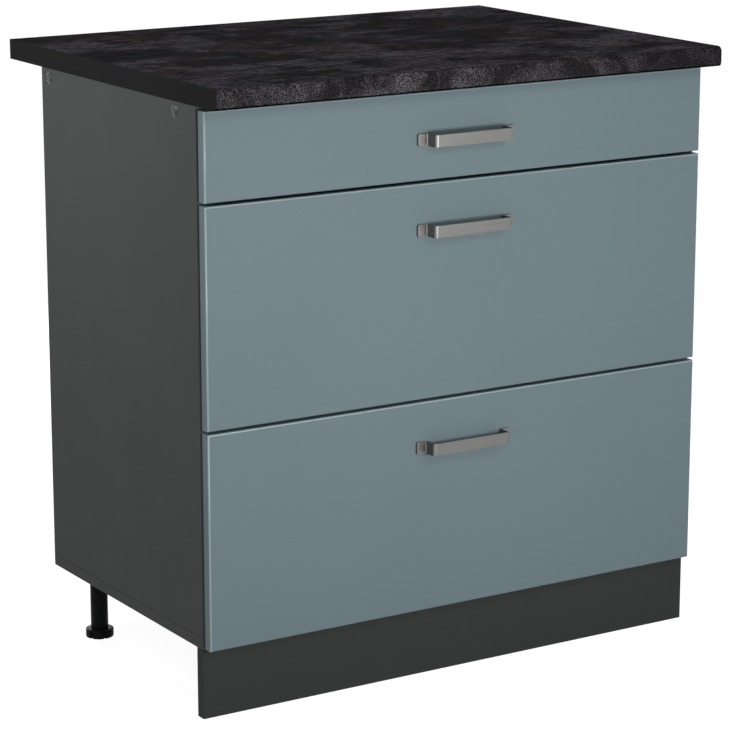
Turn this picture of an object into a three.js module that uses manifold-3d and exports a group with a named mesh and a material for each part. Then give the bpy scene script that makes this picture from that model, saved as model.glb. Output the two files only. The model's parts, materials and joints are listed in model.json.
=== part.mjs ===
// A kitchen base cabinet with one shallow and two deep drawers under a postformed worktop.
//
// Millimetres, +Z up. The fronts face -Y, +X is to the right of someone who stands before them, and the
// origin lies on the floor under the middle of the worktop. Every name ending in Z, Y or X is a place in
// that frame; names without it are sizes.
//
// The drawers run on roller slides: each folded steel drawer side carries a welded track with a nylon
// roller at its rear, which runs in a C channel on the cabinet side, and the channel carries a second
// roller at its front, under the drawer's track.

import * as THREE from "three";
import { mergeVertices } from "three/addons/utils/BufferGeometryUtils.js";
import Module from "manifold-3d";

const wasm = await Module();
wasm.setup();

// Driving dimensions

// Overall
const totalHeight = 850;
const cabinetWidth = 800;
const cabinetDepth = 445;
const plinthHeight = 97;

// Worktop
const worktopThickness = 28;
const worktopDepth = 600;
const worktopFrontOverhang = 57; // ahead of the side panels' front edges
const worktopSideOverhang = 2;
const worktopTopRadius = 8;
const worktopUnderRadius = 6;
const edgeStripThickness = 0.8;

// Boards
const board = 16;
const backThickness = 3;
const backInset = 14; // the back panel's middle plane, from the carcass's rear edge
const grooveDepth = 8;
const grooveClearance = 0.3;
const grooveEndRoom = 1; // between the back panel's edge and the bottom of its groove
const railDrop = 5; // the top rails lie this far below the side panels' top edges
const frontRailWidth = 110;
const rearRailWidth = 50;

// Cover caps of the rails' connectors
const capRadius = 9;
const capHeight = 1.4;
const capStemRadius = 3.8;
const capStemLength = 7;
const capHoleClearance = 0.3;
const frontCapInset = 55; // from the carcass's front edge
const rearCapInset = 25; // from its rear edge

// Fronts
const frontThickness = 16;
const frontGap = 4;
const frontSideInset = 2; // from the cabinet's outer width
const frontStandOff = 2; // between the side panels' edges and the fronts
const frontBottomInset = 1.5; // the lowest front's lower edge, above the carcass's underside
const frontTopInset = 5.5; // the highest front's upper edge, below the worktop
const frontArris = 3;
const frontRearArris = 0.8;
const shallowFrontHeight = 118; // the two deep fronts share the rest of the height

// Handles: a flat strap, bent into a bow with a foot at each end
const handleDrop = 63; // the strap's middle, below the front's top edge
const handleLength = 154.5;
const handleGripLength = 125;
const handleProjection = 23.5;
const handleHeight = 17;
const handleThickness = 3.5;
const handleBendRadius = 3; // of the strap's middle line
const handleCornerRadius = 3;
const handleScrewSpacing = 142;
const handleScrewHoleRadius = 2.5;

// Drawer boxes
const steel = 1.2;
const steelBendRadius = 1.6;
const drawerLength = 400;
const drawerSideHeight = 86;
const drawerSideInset = 13; // the steel wall's outer face, from the side panel's inner face
const drawerHemWidth = 8;
const drawerHemDrop = 6;
const drawerLedgeWidth = 24; // the flange that carries the base
const drawerFitClearance = 1.2; // the base and the back clear the walls' bends by this
const drawerTravel = 300;
const shallowDrawerLift = 8; // the steel side's lower edge, above its front's lower edge
const deepDrawerLift = 21;
const shallowBackHeight = 62;
const deepBackHeight = 168;
const fixingTabWidth = 22;
const fixingTabBottom = 24; // above the steel side's lower edge
const fixingTabTop = 78;
const fixingHoleRadius = 2.3;
const fixingHolePitch = 32;
const fixingHoleInset = 8; // from the tab's free edge

// Gallery rails over the deep drawers' sides
const galleryHeight = 166; // above the steel side's lower edge
const galleryInset = 24; // from the side panel's inner face
const galleryRadius = 5;
const gallerySocketRadius = 9;
const gallerySocketLength = 9;

// Roller slides
const rollerRadius = 11;
const rollerWidth = 5.4;
const rollerBoreClearance = 0.3;
const rollerEndClearance = 0.3;
const rollerTrackClearance = 0.2;
const pinRadius = 2;
const pinCollarRadius = 3.2;
const pinHeadRadius = 3.6;
const pinHeadLength = 1.1;
const pinHeadRoom = 0.6; // between a pin's head and the sheet that it faces
const channelSetback = 2; // the channel's front end, behind the carcass's front edge
const channelLift = 2; // the channel's underside, above the steel side's lower edge
const channelWidth = 11;
const channelLipHeight = 4;
const channelTopWidth = 8.5;
const channelHeadroom = 0.8; // between the drawer's track and the channel's top flange
const channelNoseRadius = 6;
const rollerSetback = 12; // a roller's axis, from the end of the part that carries it
const trackStandOff = 3; // the track's outer edge, from the side panel's inner face
const trackLip = 3;
const trackBottom = 8; // the welded web's lower edge, above the steel side's lower edge
const weldSink = 0.1;
const stopBumpRadius = 2.2;
const stopClearance = 0.2;
const channelHoleRadius = 2.3;
const channelHolePitch = 160;
const firstHoleInset = 37; // from the carcass's front edge

// Plinth brackets
const bracketLeg = 40;
const bracketWidth = 50;
const bracketSteel = 2;
const bracketBendRadius = 2.5;
const bracketInset = 150; // its middle, from the plinth's end
const bracketHoleRadius = 2.5;

// Rear legs with screw feet
const legSideInset = 38; // from the side panel's outer face
const legRearInset = 64; // from the carcass's rear edge
const legTubeRadius = 12.5;
const legBoreRadius = 9;
const legBoreTop = 14; // the bore's blind end, below the carcass
const legCollarRadius = 17;
const legCollarHeight = 10;
const legPlateRadius = 29;
const legPlateThickness = 3;
const footRadius = 20;
const footHeight = 12;
const footChamfer = 1.5;
const footLobes = 6;
const footNotchWidth = 4.4;
const footNotchDepth = 3.6;
const footNotchPhase = 26; // degrees from +X
const footStemRadius = 8.6;
const footStemRoom = 1; // above the stem, when the foot is screwed right in
const footSeatGap = 0.3;

// Facets
const legSteps = 24;
const footSteps = 36;
const capSteps = 20;
const rollerSteps = 16;
const pinSteps = 8;
const holeSteps = 8;
const arcSteps = 4;
const bendSteps = 2;

// Places that follow from the driving dimensions

const carcassBottomZ = plinthHeight;
const carcassTopZ = totalHeight - worktopThickness;
const panelBottomZ = carcassBottomZ + board;
const worktopFrontY = -worktopDepth / 2;
const carcassFrontY = worktopFrontY + worktopFrontOverhang;
const carcassRearY = carcassFrontY + cabinetDepth;
const halfWidth = cabinetWidth / 2;
const innerHalfWidth = halfWidth - board;
const worktopHalfWidth = halfWidth + worktopSideOverhang;
const backY = carcassRearY - backInset;
const railTopZ = carcassTopZ - railDrop;
const railBottomZ = railTopZ - board;
const frontRearY = carcassFrontY - frontStandOff;
const frontFaceY = frontRearY - frontThickness;
const drawerRearY = frontRearY + drawerLength;
const drawerBackFrontY = drawerRearY - board;
const drawerInnerHalf = innerHalfWidth - drawerSideInset - steel;
const channelFrontY = carcassFrontY + channelSetback;
const channelRearY = channelFrontY + drawerLength;

// Heights of the slide's parts above the steel side's lower edge
const channelFloor = channelLift + steel;
const drawerRollerAxis = channelFloor + rollerTrackClearance + rollerRadius;
const trackUnderside = drawerRollerAxis + rollerRadius - rollerTrackClearance;
const trackTop = trackUnderside + steel;
const channelTop = trackTop + channelHeadroom + steel;
const cabinetRollerAxis = trackUnderside - rollerTrackClearance - rollerRadius;
const cabinetRollerY = channelFrontY + rollerSetback;
const drawerRollerY = drawerRearY - rollerSetback;

const frontsBottomZ = carcassBottomZ + frontBottomInset;
const frontsTopZ = carcassTopZ - frontTopInset;
const deepFrontHeight = (frontsTopZ - frontsBottomZ - shallowFrontHeight - 2 * frontGap) / 2;

// The two kinds of drawer, and each drawer from the top down
const shallow = {
  frontHeight: shallowFrontHeight,
  lift: shallowDrawerLift,
  backHeight: shallowBackHeight,
};
const deep = {
  frontHeight: deepFrontHeight,
  lift: deepDrawerLift,
  backHeight: deepBackHeight,
  gallery: true,
};
const drawers = [
  { name: "top", ...shallow },
  { name: "middle", ...deep },
  { name: "bottom", ...deep },
];
let nextFrontZ = frontsBottomZ;
for (const drawer of [...drawers].reverse()) {
  drawer.frontZ = nextFrontZ;
  drawer.sideZ = drawer.frontZ + drawer.lift;
  nextFrontZ += drawer.frontHeight + frontGap;
}

// Finishes

function finish(color, roughness, metalness = 0) {
  return new THREE.MeshStandardMaterial({ color, roughness, metalness });
}
const finishes = {
  anthraciteBoard: finish(0x4a4c4b, 0.55),
  greyBlueFront: finish(0x73868b, 0.5),
  darkSlateLaminate: finish(0x29282b, 0.6),
  darkEdging: finish(0x2c2c2c, 0.6),
  backBoard: finish(0x555756, 0.7),
  drawerBoard: finish(0xb9bcbc, 0.6),
  brushedNickel: finish(0x9a9793, 0.35, 0.9),
  greyPowderCoat: finish(0xa3a6a6, 0.45, 0.2),
  zincSteel: finish(0x9da1a3, 0.4, 0.8),
  whiteNylon: finish(0xe4e2dc, 0.5),
  blackPlastic: finish(0x17181a, 0.45),
};

// Shapes and solids

const alongAxis = {
  x: new THREE.Matrix4().makeBasis(
    new THREE.Vector3(0, 1, 0),
    new THREE.Vector3(0, 0, 1),
    new THREE.Vector3(1, 0, 0),
  ),
  y: new THREE.Matrix4().makeBasis(
    new THREE.Vector3(0, 0, 1),
    new THREE.Vector3(1, 0, 0),
    new THREE.Vector3(0, 1, 0),
  ),
  z: new THREE.Matrix4(),
};

// A closed geometry as a solid that can be joined and cut.
function solidOf(geometry) {
  const bare = geometry.clone();
  bare.deleteAttribute("normal");
  bare.deleteAttribute("uv");
  const merged = mergeVertices(bare, 1e-4);
  const corners = merged.index.array;
  const kept = [];
  for (let i = 0; i < corners.length; i += 3) {
    const [a, b, c] = [corners[i], corners[i + 1], corners[i + 2]];
    if (a !== b && b !== c && c !== a) kept.push(a, b, c);
  }
  return new wasm.Manifold(
    new wasm.Mesh({
      numProp: 3,
      vertProperties: Float32Array.from(merged.attributes.position.array),
      triVerts: Uint32Array.from(kept),
    }),
  );
}

function geometryOf(solid) {
  const mesh = solid.getMesh();
  const geometry = new THREE.BufferGeometry();
  geometry.setAttribute("position", new THREE.BufferAttribute(Float32Array.from(mesh.vertProperties), 3));
  geometry.setIndex(new THREE.BufferAttribute(Uint32Array.from(mesh.triVerts), 1));
  const faceted = geometry.toNonIndexed();
  faceted.computeVertexNormals();
  return faceted;
}

function outline(points) {
  return new THREE.Shape(points.map(([a, b]) => new THREE.Vector2(a, b)));
}

// A shape swept straight along an axis. Its two coordinates are (Y, Z) along x, (Z, X) along y and
// (X, Y) along z.
function swept(shape, axis, from, to) {
  const geometry = new THREE.ExtrudeGeometry(shape, {
    depth: to - from,
    bevelEnabled: false,
    curveSegments: arcSteps,
  });
  geometry.translate(0, 0, from);
  geometry.applyMatrix4(alongAxis[axis]);
  return solidOf(geometry);
}

function block([x0, x1], [y0, y1], [z0, z1]) {
  const geometry = new THREE.BoxGeometry(Math.abs(x1 - x0), y1 - y0, z1 - z0);
  geometry.translate((x0 + x1) / 2, (y0 + y1) / 2, (z0 + z1) / 2);
  return solidOf(geometry);
}

// A profile of [radius, place along the axis] points, from the low end to the high end outside,
// turned about an axis through a centre.
function turned(profile, axis, centre, steps) {
  const points = profile.map(([radius, place]) => new THREE.Vector2(radius, place));
  const geometry = new THREE.LatheGeometry(points, steps);
  geometry.applyMatrix4(new THREE.Matrix4().makeRotationX(Math.PI / 2));
  geometry.applyMatrix4(alongAxis[axis]);
  geometry.translate(...centre);
  return solidOf(geometry);
}

function rod(radius, axis, from, to, centre, steps = holeSteps) {
  return turned([[0, from], [radius, from], [radius, to], [0, to]], axis, centre, steps);
}

function joined(solids) {
  return solids.reduce((sum, solid) => sum.add(solid));
}

function cut(solid, tools) {
  return tools.reduce((rest, tool) => rest.subtract(tool), solid);
}

// A rectangle with its own corner radius at each corner, from the lower left, anticlockwise.
function roundedRectangle([a0, a1], [b0, b1], radii) {
  const [lowerLeft, lowerRight, upperRight, upperLeft] = radii;
  const quarter = Math.PI / 2;
  const shape = new THREE.Shape();
  shape.moveTo(a0 + lowerLeft, b0);
  shape.lineTo(a1 - lowerRight, b0);
  if (lowerRight) shape.absarc(a1 - lowerRight, b0 + lowerRight, lowerRight, -quarter, 0);
  shape.lineTo(a1, b1 - upperRight);
  if (upperRight) shape.absarc(a1 - upperRight, b1 - upperRight, upperRight, 0, quarter);
  shape.lineTo(a0 + upperLeft, b1);
  if (upperLeft) shape.absarc(a0 + upperLeft, b1 - upperLeft, upperLeft, quarter, 2 * quarter);
  shape.lineTo(a0, b0 + lowerLeft);
  if (lowerLeft) shape.absarc(a0 + lowerLeft, b0 + lowerLeft, lowerLeft, 2 * quarter, 3 * quarter);
  return shape;
}

// The section of a sheet or strap: a line through the given corners, bent round a radius at each
// inner one, with half the thickness on either side.
function bentStrip(corners, thickness, bendRadius, steps = bendSteps) {
  const path = corners.map(([a, b]) => new THREE.Vector2(a, b));
  const centreline = [];
  const leftOf = (direction) => new THREE.Vector2(-direction.y, direction.x);
  const firstWay = path[1].clone().sub(path[0]).normalize();
  centreline.push({ at: path[0], left: leftOf(firstWay) });
  for (let i = 1; i < path.length - 1; i += 1) {
    const before = path[i].clone().sub(path[i - 1]).normalize();
    const after = path[i + 1].clone().sub(path[i]).normalize();
    const turn = Math.atan2(before.cross(after), before.dot(after));
    const side = Math.sign(turn);
    const setback = bendRadius * Math.tan(Math.abs(turn) / 2);
    const start = path[i].clone().addScaledVector(before, -setback);
    const centre = start.clone().addScaledVector(leftOf(before), side * bendRadius);
    for (let step = 0; step <= steps; step += 1) {
      const left = leftOf(before).rotateAround(new THREE.Vector2(), (turn * step) / steps);
      centreline.push({ at: centre.clone().addScaledVector(left, -side * bendRadius), left });
    }
  }
  const last = path.length - 1;
  const lastWay = path[last].clone().sub(path[last - 1]).normalize();
  centreline.push({ at: path[last], left: leftOf(lastWay) });
  const edge = (offset) => centreline.map(({ at, left }) => at.clone().addScaledVector(left, offset));
  return new THREE.Shape([...edge(thickness / 2), ...edge(-thickness / 2).reverse()]);
}

// The model

const cabinet = new THREE.Group();

function addPiece(name, solid, material) {
  const mesh = new THREE.Mesh(geometryOf(solid), material);
  mesh.name = name;
  cabinet.add(mesh);
}

const sides = [
  { name: "left", sign: -1 },
  { name: "right", sign: 1 },
];

// Carcass boards

const grooveHalf = backThickness / 2 + grooveClearance;
const backGroove = [backY - grooveHalf, backY + grooveHalf];
const capCentres = [
  { name: "front", y: carcassFrontY + frontCapInset },
  { name: "rear", y: carcassRearY - rearCapInset },
];
const capZ = railTopZ - board / 2;

function sidePanel(sign) {
  const panel = block(
    [sign * innerHalfWidth, sign * halfWidth],
    [carcassFrontY, carcassRearY],
    [panelBottomZ, carcassTopZ],
  );
  const overrun = 1;
  const groove = block(
    [sign * (innerHalfWidth - overrun), sign * (innerHalfWidth + grooveDepth)],
    backGroove,
    [panelBottomZ - overrun, carcassTopZ + overrun],
  );
  const holeRadius = capStemRadius + capHoleClearance;
  const holeStart = halfWidth - capStemLength - grooveEndRoom;
  const holes = capCentres.map(({ y }) => {
    const ends = [sign * holeStart, sign * (halfWidth + overrun)].sort((a, b) => a - b);
    return rod(holeRadius, "x", ...ends, [0, y, capZ]);
  });
  return cut(panel, [groove, ...holes]);
}

// A turned profile, or its mirror image where the sign is negative.
function facing(sign, profile) {
  return sign > 0 ? profile : profile.map(([radius, place]) => [radius, -place]).reverse();
}

function coverCap(sign, y) {
  const rim = 0.8;
  const profile = [
    [0, -capStemLength],
    [capStemRadius, -capStemLength],
    [capStemRadius, 0],
    [capRadius, 0],
    [capRadius, capHeight - rim],
    [capRadius - rim / 2, capHeight - rim / 4],
    [capRadius - 2 * rim, capHeight],
    [0, capHeight],
  ];
  return turned(facing(sign, profile), "x", [sign * halfWidth, y, capZ], capSteps);
}

for (const { name, sign } of sides) {
  addPiece(`side_panel_${name}`, sidePanel(sign), finishes.anthraciteBoard);
  for (const cap of capCentres) {
    addPiece(`cover_cap_${cap.name}_${name}`, coverCap(sign, cap.y), finishes.anthraciteBoard);
  }
}

const bottomPanel = block(
  [-halfWidth, halfWidth],
  [carcassFrontY, carcassRearY],
  [carcassBottomZ, panelBottomZ],
);
const bottomGroove = block(
  [-innerHalfWidth - grooveDepth, innerHalfWidth + grooveDepth],
  backGroove,
  [panelBottomZ - grooveDepth, panelBottomZ + 1],
);
addPiece("bottom_panel", cut(bottomPanel, [bottomGroove]), finishes.anthraciteBoard);

addPiece(
  "front_rail",
  block(
    [-innerHalfWidth, innerHalfWidth],
    [carcassFrontY, carcassFrontY + frontRailWidth],
    [railBottomZ, railTopZ],
  ),
  finishes.anthraciteBoard,
);

const rearRail = block(
  [-innerHalfWidth, innerHalfWidth],
  [carcassRearY - rearRailWidth, carcassRearY],
  [railBottomZ, railTopZ],
);
const railGroove = block(
  [-innerHalfWidth - 1, innerHalfWidth + 1],
  backGroove,
  [railBottomZ - 1, railBottomZ + grooveDepth],
);
addPiece("rear_rail", cut(rearRail, [railGroove]), finishes.anthraciteBoard);

const backReach = grooveDepth - grooveEndRoom;
addPiece(
  "back_panel",
  block(
    [-innerHalfWidth - backReach, innerHalfWidth + backReach],
    [backY - backThickness / 2, backY + backThickness / 2],
    [panelBottomZ - backReach, railBottomZ + backReach],
  ),
  finishes.backBoard,
);

// Worktop: a board with a rolled front edge, and a glued strip on each cut end

const worktopSection = roundedRectangle(
  [worktopFrontY, worktopFrontY + worktopDepth],
  [carcassTopZ, totalHeight],
  [worktopUnderRadius, 0, 0, worktopTopRadius],
);
const stripStart = worktopHalfWidth - edgeStripThickness;
addPiece("worktop", swept(worktopSection, "x", -stripStart, stripStart), finishes.darkSlateLaminate);
addPiece(
  "worktop_edge_left",
  swept(worktopSection, "x", -worktopHalfWidth, -stripStart),
  finishes.darkEdging,
);
addPiece(
  "worktop_edge_right",
  swept(worktopSection, "x", stripStart, worktopHalfWidth),
  finishes.darkEdging,
);

// Plinth and its brackets

const plinthRearY = carcassFrontY + board;
addPiece(
  "plinth_board",
  block([-halfWidth, halfWidth], [carcassFrontY, plinthRearY], [0, plinthHeight]),
  finishes.anthraciteBoard,
);

function plinthBracket(sign) {
  const half = bracketSteel / 2;
  const middleX = sign * (halfWidth - bracketInset);
  const section = bentStrip(
    [
      [plinthRearY + half, carcassBottomZ - bracketLeg],
      [plinthRearY + half, carcassBottomZ - half],
      [plinthRearY + bracketLeg, carcassBottomZ - half],
    ],
    bracketSteel,
    bracketBendRadius,
  );
  const angle = swept(section, "x", middleX - bracketWidth / 2, middleX + bracketWidth / 2);
  const holes = [-1, 1].flatMap((way) => {
    const holeX = middleX + (way * bracketWidth) / 4;
    const throughPlinthLeg = rod(bracketHoleRadius, "y", -1, bracketSteel + 1, [
      holeX,
      plinthRearY,
      carcassBottomZ - bracketLeg / 2,
    ]);
    const throughTopLeg = rod(bracketHoleRadius, "z", -bracketSteel - 1, 1, [
      holeX,
      plinthRearY + bracketLeg / 2,
      carcassBottomZ,
    ]);
    return [throughPlinthLeg, throughTopLeg];
  });
  return cut(angle, holes);
}

// Rear legs

function legTube(centre) {
  const tubeEnd = footHeight + footSeatGap;
  const collarEnd = carcassBottomZ - legPlateThickness - legCollarHeight;
  const plateEnd = carcassBottomZ - legPlateThickness;
  const profile = [
    [legBoreRadius, tubeEnd],
    [legTubeRadius, tubeEnd],
    [legTubeRadius, collarEnd - legCollarRadius + legTubeRadius],
    [legCollarRadius, collarEnd],
    [legCollarRadius, plateEnd],
    [legPlateRadius, plateEnd],
    [legPlateRadius, carcassBottomZ],
    [0, carcassBottomZ],
    [0, carcassBottomZ - legBoreTop],
    [legBoreRadius, carcassBottomZ - legBoreTop],
    [legBoreRadius, tubeEnd],
  ];
  return turned(profile, "z", centre, legSteps);
}

function screwFoot(centre) {
  const stemTop = carcassBottomZ - legBoreTop - footStemRoom;
  const body = turned(
    [
      [0, 0],
      [footRadius - footChamfer / 2, 0],
      [footRadius, footChamfer / 2],
      [footRadius, footHeight - footChamfer],
      [footRadius - footChamfer, footHeight],
      [footStemRadius, footHeight],
      [footStemRadius, stemTop - footChamfer],
      [footStemRadius - footChamfer, stemTop],
      [0, stemTop],
    ],
    "z",
    centre,
    footSteps,
  );
  const [centreX, centreY] = centre;
  const overrun = 1;
  const notches = Array.from({ length: footLobes }, (_, index) => {
    const angle = THREE.MathUtils.degToRad(footNotchPhase + (360 / footLobes) * index);
    const notch = outline([
      [footRadius - footNotchDepth, 0],
      [footRadius + overrun, -footNotchWidth / 2 - overrun],
      [footRadius + overrun, footNotchWidth / 2 + overrun],
    ]);
    const depth = footHeight + 2 * overrun;
    const geometry = new THREE.ExtrudeGeometry(notch, { depth, bevelEnabled: false });
    geometry.translate(0, 0, -overrun);
    geometry.rotateZ(angle);
    geometry.translate(centreX, centreY, 0);
    return solidOf(geometry);
  });
  return cut(body, notches);
}

for (const { name, sign } of sides) {
  const legCentre = [sign * (halfWidth - legSideInset), carcassRearY - legRearInset, 0];
  addPiece(`plinth_bracket_${name}`, plinthBracket(sign), finishes.zincSteel);
  addPiece(`leg_${name}`, legTube(legCentre), finishes.blackPlastic);
  addPiece(`foot_${name}`, screwFoot(legCentre), finishes.blackPlastic);
}

// Roller slides. Their sections are drawn from the side panel's inner face inwards.

// A place at a distance in from one side panel's inner face.
function inwards(sign, distance) {
  return sign * (innerHalfWidth - distance);
}

// A section's points, given as [distance inwards, height], in the order that a sweep along y takes.
function sectionPoints(sign, baseZ, points) {
  return points.map(([distance, height]) => [baseZ + height, inwards(sign, distance)]);
}

// A rod or roller that lies across the slide, between two distances in from the side panel.
function acrossSlide(sign, from, to) {
  return [inwards(sign, from), inwards(sign, to)].sort((a, b) => a - b);
}

// Where the two kinds of roller start, in from the side panel, and which way their dished faces look
const cabinetRoller = { from: trackStandOff + steel + 2 * rollerEndClearance, dish: 1 };
const drawerRoller = { from: steel + pinHeadRoom + pinHeadLength + rollerEndClearance, dish: -1 };

function rollerWheel(sign, { from, dish }, y, z) {
  const boreRadius = pinRadius + rollerBoreClearance;
  const half = rollerWidth / 2;
  const chamfer = 0.6;
  const hubRadius = 4.8;
  const rimRadius = rollerRadius - 2;
  const recess = 0.8;
  const profile = [
    [boreRadius, -half],
    [rollerRadius - chamfer, -half],
    [rollerRadius, -half + chamfer],
    [rollerRadius, half - chamfer],
    [rollerRadius - chamfer, half],
    [rimRadius, half],
    [rimRadius, half - recess],
    [hubRadius, half - recess],
    [hubRadius, half],
    [boreRadius, half],
    [boreRadius, -half],
  ];
  return turned(facing(-sign * dish, profile), "x", [inwards(sign, from + half), y, z], rollerSteps);
}

// A riveted pin: a collar against the sheet it stands on, the shank, and the head.
function rollerPin(sign, sheetAt, { from, dish }, y, z) {
  const middle = from + rollerWidth / 2;
  const reach = rollerWidth / 2 + rollerEndClearance;
  const collarEnd = middle - dish * reach;
  const headStart = middle + dish * reach;
  const headEnd = headStart + dish * pinHeadLength;
  const centre = [0, y, z];
  return joined([
    rod(pinCollarRadius, "x", ...acrossSlide(sign, sheetAt, collarEnd), centre, pinSteps),
    rod(pinRadius, "x", ...acrossSlide(sign, sheetAt, headEnd), centre, pinSteps),
    rod(pinHeadRadius, "x", ...acrossSlide(sign, headStart, headEnd), centre, pinSteps),
  ]);
}

function cabinetChannel(sign, sideZ) {
  const half = steel / 2;
  const section = bentStrip(
    sectionPoints(sign, sideZ, [
      [channelWidth - half, channelLift + channelLipHeight],
      [channelWidth - half, channelLift + half],
      [half, channelLift + half],
      [half, channelTop - half],
      [channelTopWidth, channelTop - half],
    ]),
    steel,
    steelBendRadius,
  );
  const channel = swept(section, "y", channelFrontY, channelRearY);
  const axisZ = sideZ + cabinetRollerAxis;
  const noseEndY = cabinetRollerY + rollerRadius + steel;
  const wholeHeight = [sideZ + channelLift - 1, sideZ + channelTop + 1];
  const noseTool = block(
    acrossSlide(sign, steel, channelWidth + 1),
    [channelFrontY - 1, noseEndY],
    wholeHeight,
  );
  const noseBlank = block(
    acrossSlide(sign, -1, steel + 1),
    [channelFrontY - 1, channelFrontY + rollerSetback],
    wholeHeight,
  );
  const noseRound = swept(
    roundedRectangle(
      [channelFrontY, channelFrontY + 2 * rollerSetback],
      [sideZ + channelLift, sideZ + channelTop],
      [channelNoseRadius, 0, 0, channelNoseRadius],
    ),
    "x",
    ...acrossSlide(sign, -2, steel + 2),
  );
  const bumpDistance = Math.sqrt(
    (rollerRadius + stopBumpRadius + stopClearance) ** 2 - (drawerRollerAxis - channelFloor) ** 2,
  );
  const stopBump = rod(
    stopBumpRadius,
    "x",
    ...acrossSlide(sign, half, channelWidth - half),
    [0, drawerRollerY - drawerTravel - bumpDistance, sideZ + channelFloor],
  );
  const bumpTrim = block(
    acrossSlide(sign, -1, channelWidth + 1),
    [channelFrontY, channelRearY],
    [sideZ + channelLift - 2 * stopBumpRadius, sideZ + channelLift],
  );
  const holes = [0, 1, 2].map((index) =>
    rod(channelHoleRadius, "x", ...acrossSlide(sign, -1, 2 * steel), [
      0,
      carcassFrontY + firstHoleInset + index * channelHolePitch,
      sideZ + (channelLift + channelTop) / 2,
    ]),
  );
  const shaped = cut(channel.add(stopBump), [bumpTrim, noseTool, noseBlank.subtract(noseRound), ...holes]);
  return shaped.add(rollerPin(sign, half, cabinetRoller, cabinetRollerY, axisZ));
}

function drawerSide(sign, sideZ) {
  const half = steel / 2;
  const wallAt = drawerSideInset + half;
  const wall = bentStrip(
    sectionPoints(sign, sideZ, [
      [wallAt + drawerLedgeWidth, half],
      [wallAt, half],
      [wallAt, drawerSideHeight - half],
      [wallAt - drawerHemWidth, drawerSideHeight - half],
      [wallAt - drawerHemWidth, drawerSideHeight - drawerHemDrop],
    ]),
    steel,
    steelBendRadius,
  );
  const trackWeb = drawerSideInset - half + weldSink;
  const track = bentStrip(
    sectionPoints(sign, sideZ, [
      [trackWeb, trackBottom],
      [trackWeb, trackTop - half],
      [trackStandOff + half, trackTop - half],
      [trackStandOff + half, trackUnderside - trackLip],
    ]),
    steel,
    steelBendRadius,
  );
  const trackEndY = drawerRollerY - rollerRadius - steel;
  const tab = block(
    acrossSlide(sign, drawerSideInset, drawerSideInset + fixingTabWidth),
    [frontRearY, frontRearY + steel],
    [sideZ + fixingTabBottom, sideZ + fixingTabTop],
  );
  const tabMiddleZ = sideZ + (fixingTabBottom + fixingTabTop) / 2;
  const tabHoles = [-1, 1].map((way) =>
    rod(fixingHoleRadius, "y", -1, 2 * steel, [
      inwards(sign, drawerSideInset + fixingTabWidth - fixingHoleInset),
      frontRearY,
      tabMiddleZ + (way * fixingHolePitch) / 2,
    ]),
  );
  return joined([
    swept(wall, "y", frontRearY, drawerRearY),
    swept(track, "y", frontRearY + steel, trackEndY),
    cut(tab, tabHoles),
    rollerPin(sign, drawerSideInset + half, drawerRoller, drawerRollerY, sideZ + drawerRollerAxis),
  ]);
}

// Drawer fronts: rounded along all four front edges

function drawerFront({ frontZ, frontHeight }, handleZ) {
  const edges = [frontFaceY, frontRearY];
  const halfFront = halfWidth - frontSideInset;
  const upright = swept(
    roundedRectangle(edges, [frontZ, frontZ + frontHeight], [
      frontArris,
      frontRearArris,
      frontRearArris,
      frontArris,
    ]),
    "x",
    -halfFront,
    halfFront,
  );
  const plan = swept(
    roundedRectangle([-halfFront, halfFront], edges, [
      frontArris,
      frontArris,
      frontRearArris,
      frontRearArris,
    ]),
    "z",
    frontZ,
    frontZ + frontHeight,
  );
  const holes = [-1, 1].map((way) =>
    rod(handleScrewHoleRadius, "y", frontFaceY - 1, frontRearY + 1, [
      (way * handleScrewSpacing) / 2,
      0,
      handleZ,
    ]),
  );
  return cut(upright.intersect(plan), holes);
}

function handle(handleZ) {
  const half = handleThickness / 2;
  const footY = frontFaceY - half;
  const gripY = frontFaceY - handleProjection + half;
  const legX = handleGripLength / 2 - half;
  const strap = bentStrip(
    [
      [-handleLength / 2, footY],
      [-legX, footY],
      [-legX, gripY],
      [legX, gripY],
      [legX, footY],
      [handleLength / 2, footY],
    ],
    handleThickness,
    handleBendRadius,
    arcSteps,
  );
  const bow = swept(strap, "z", handleZ - handleHeight / 2, handleZ + handleHeight / 2);
  const corner = handleCornerRadius;
  const face = swept(
    roundedRectangle(
      [handleZ - handleHeight / 2, handleZ + handleHeight / 2],
      [-handleLength / 2, handleLength / 2],
      [corner, corner, corner, corner],
    ),
    "y",
    frontFaceY - handleProjection - 1,
    frontFaceY + 1,
  );
  return bow.intersect(face);
}

function galleryRail(sign, sideZ) {
  const centre = [inwards(sign, galleryInset), 0, sideZ + galleryHeight];
  const chamfer = 1;
  const frontSocketY = frontRearY + gallerySocketLength;
  const rearSocketY = drawerBackFrontY - gallerySocketLength;
  const profile = [
    [0, frontRearY],
    [gallerySocketRadius, frontRearY],
    [gallerySocketRadius, frontSocketY - chamfer],
    [gallerySocketRadius - chamfer, frontSocketY],
    [galleryRadius, frontSocketY],
    [galleryRadius, rearSocketY],
    [gallerySocketRadius - chamfer, rearSocketY],
    [gallerySocketRadius, rearSocketY + chamfer],
    [gallerySocketRadius, drawerBackFrontY],
    [0, drawerBackFrontY],
  ];
  return turned(profile, "y", centre, rollerSteps);
}

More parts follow.
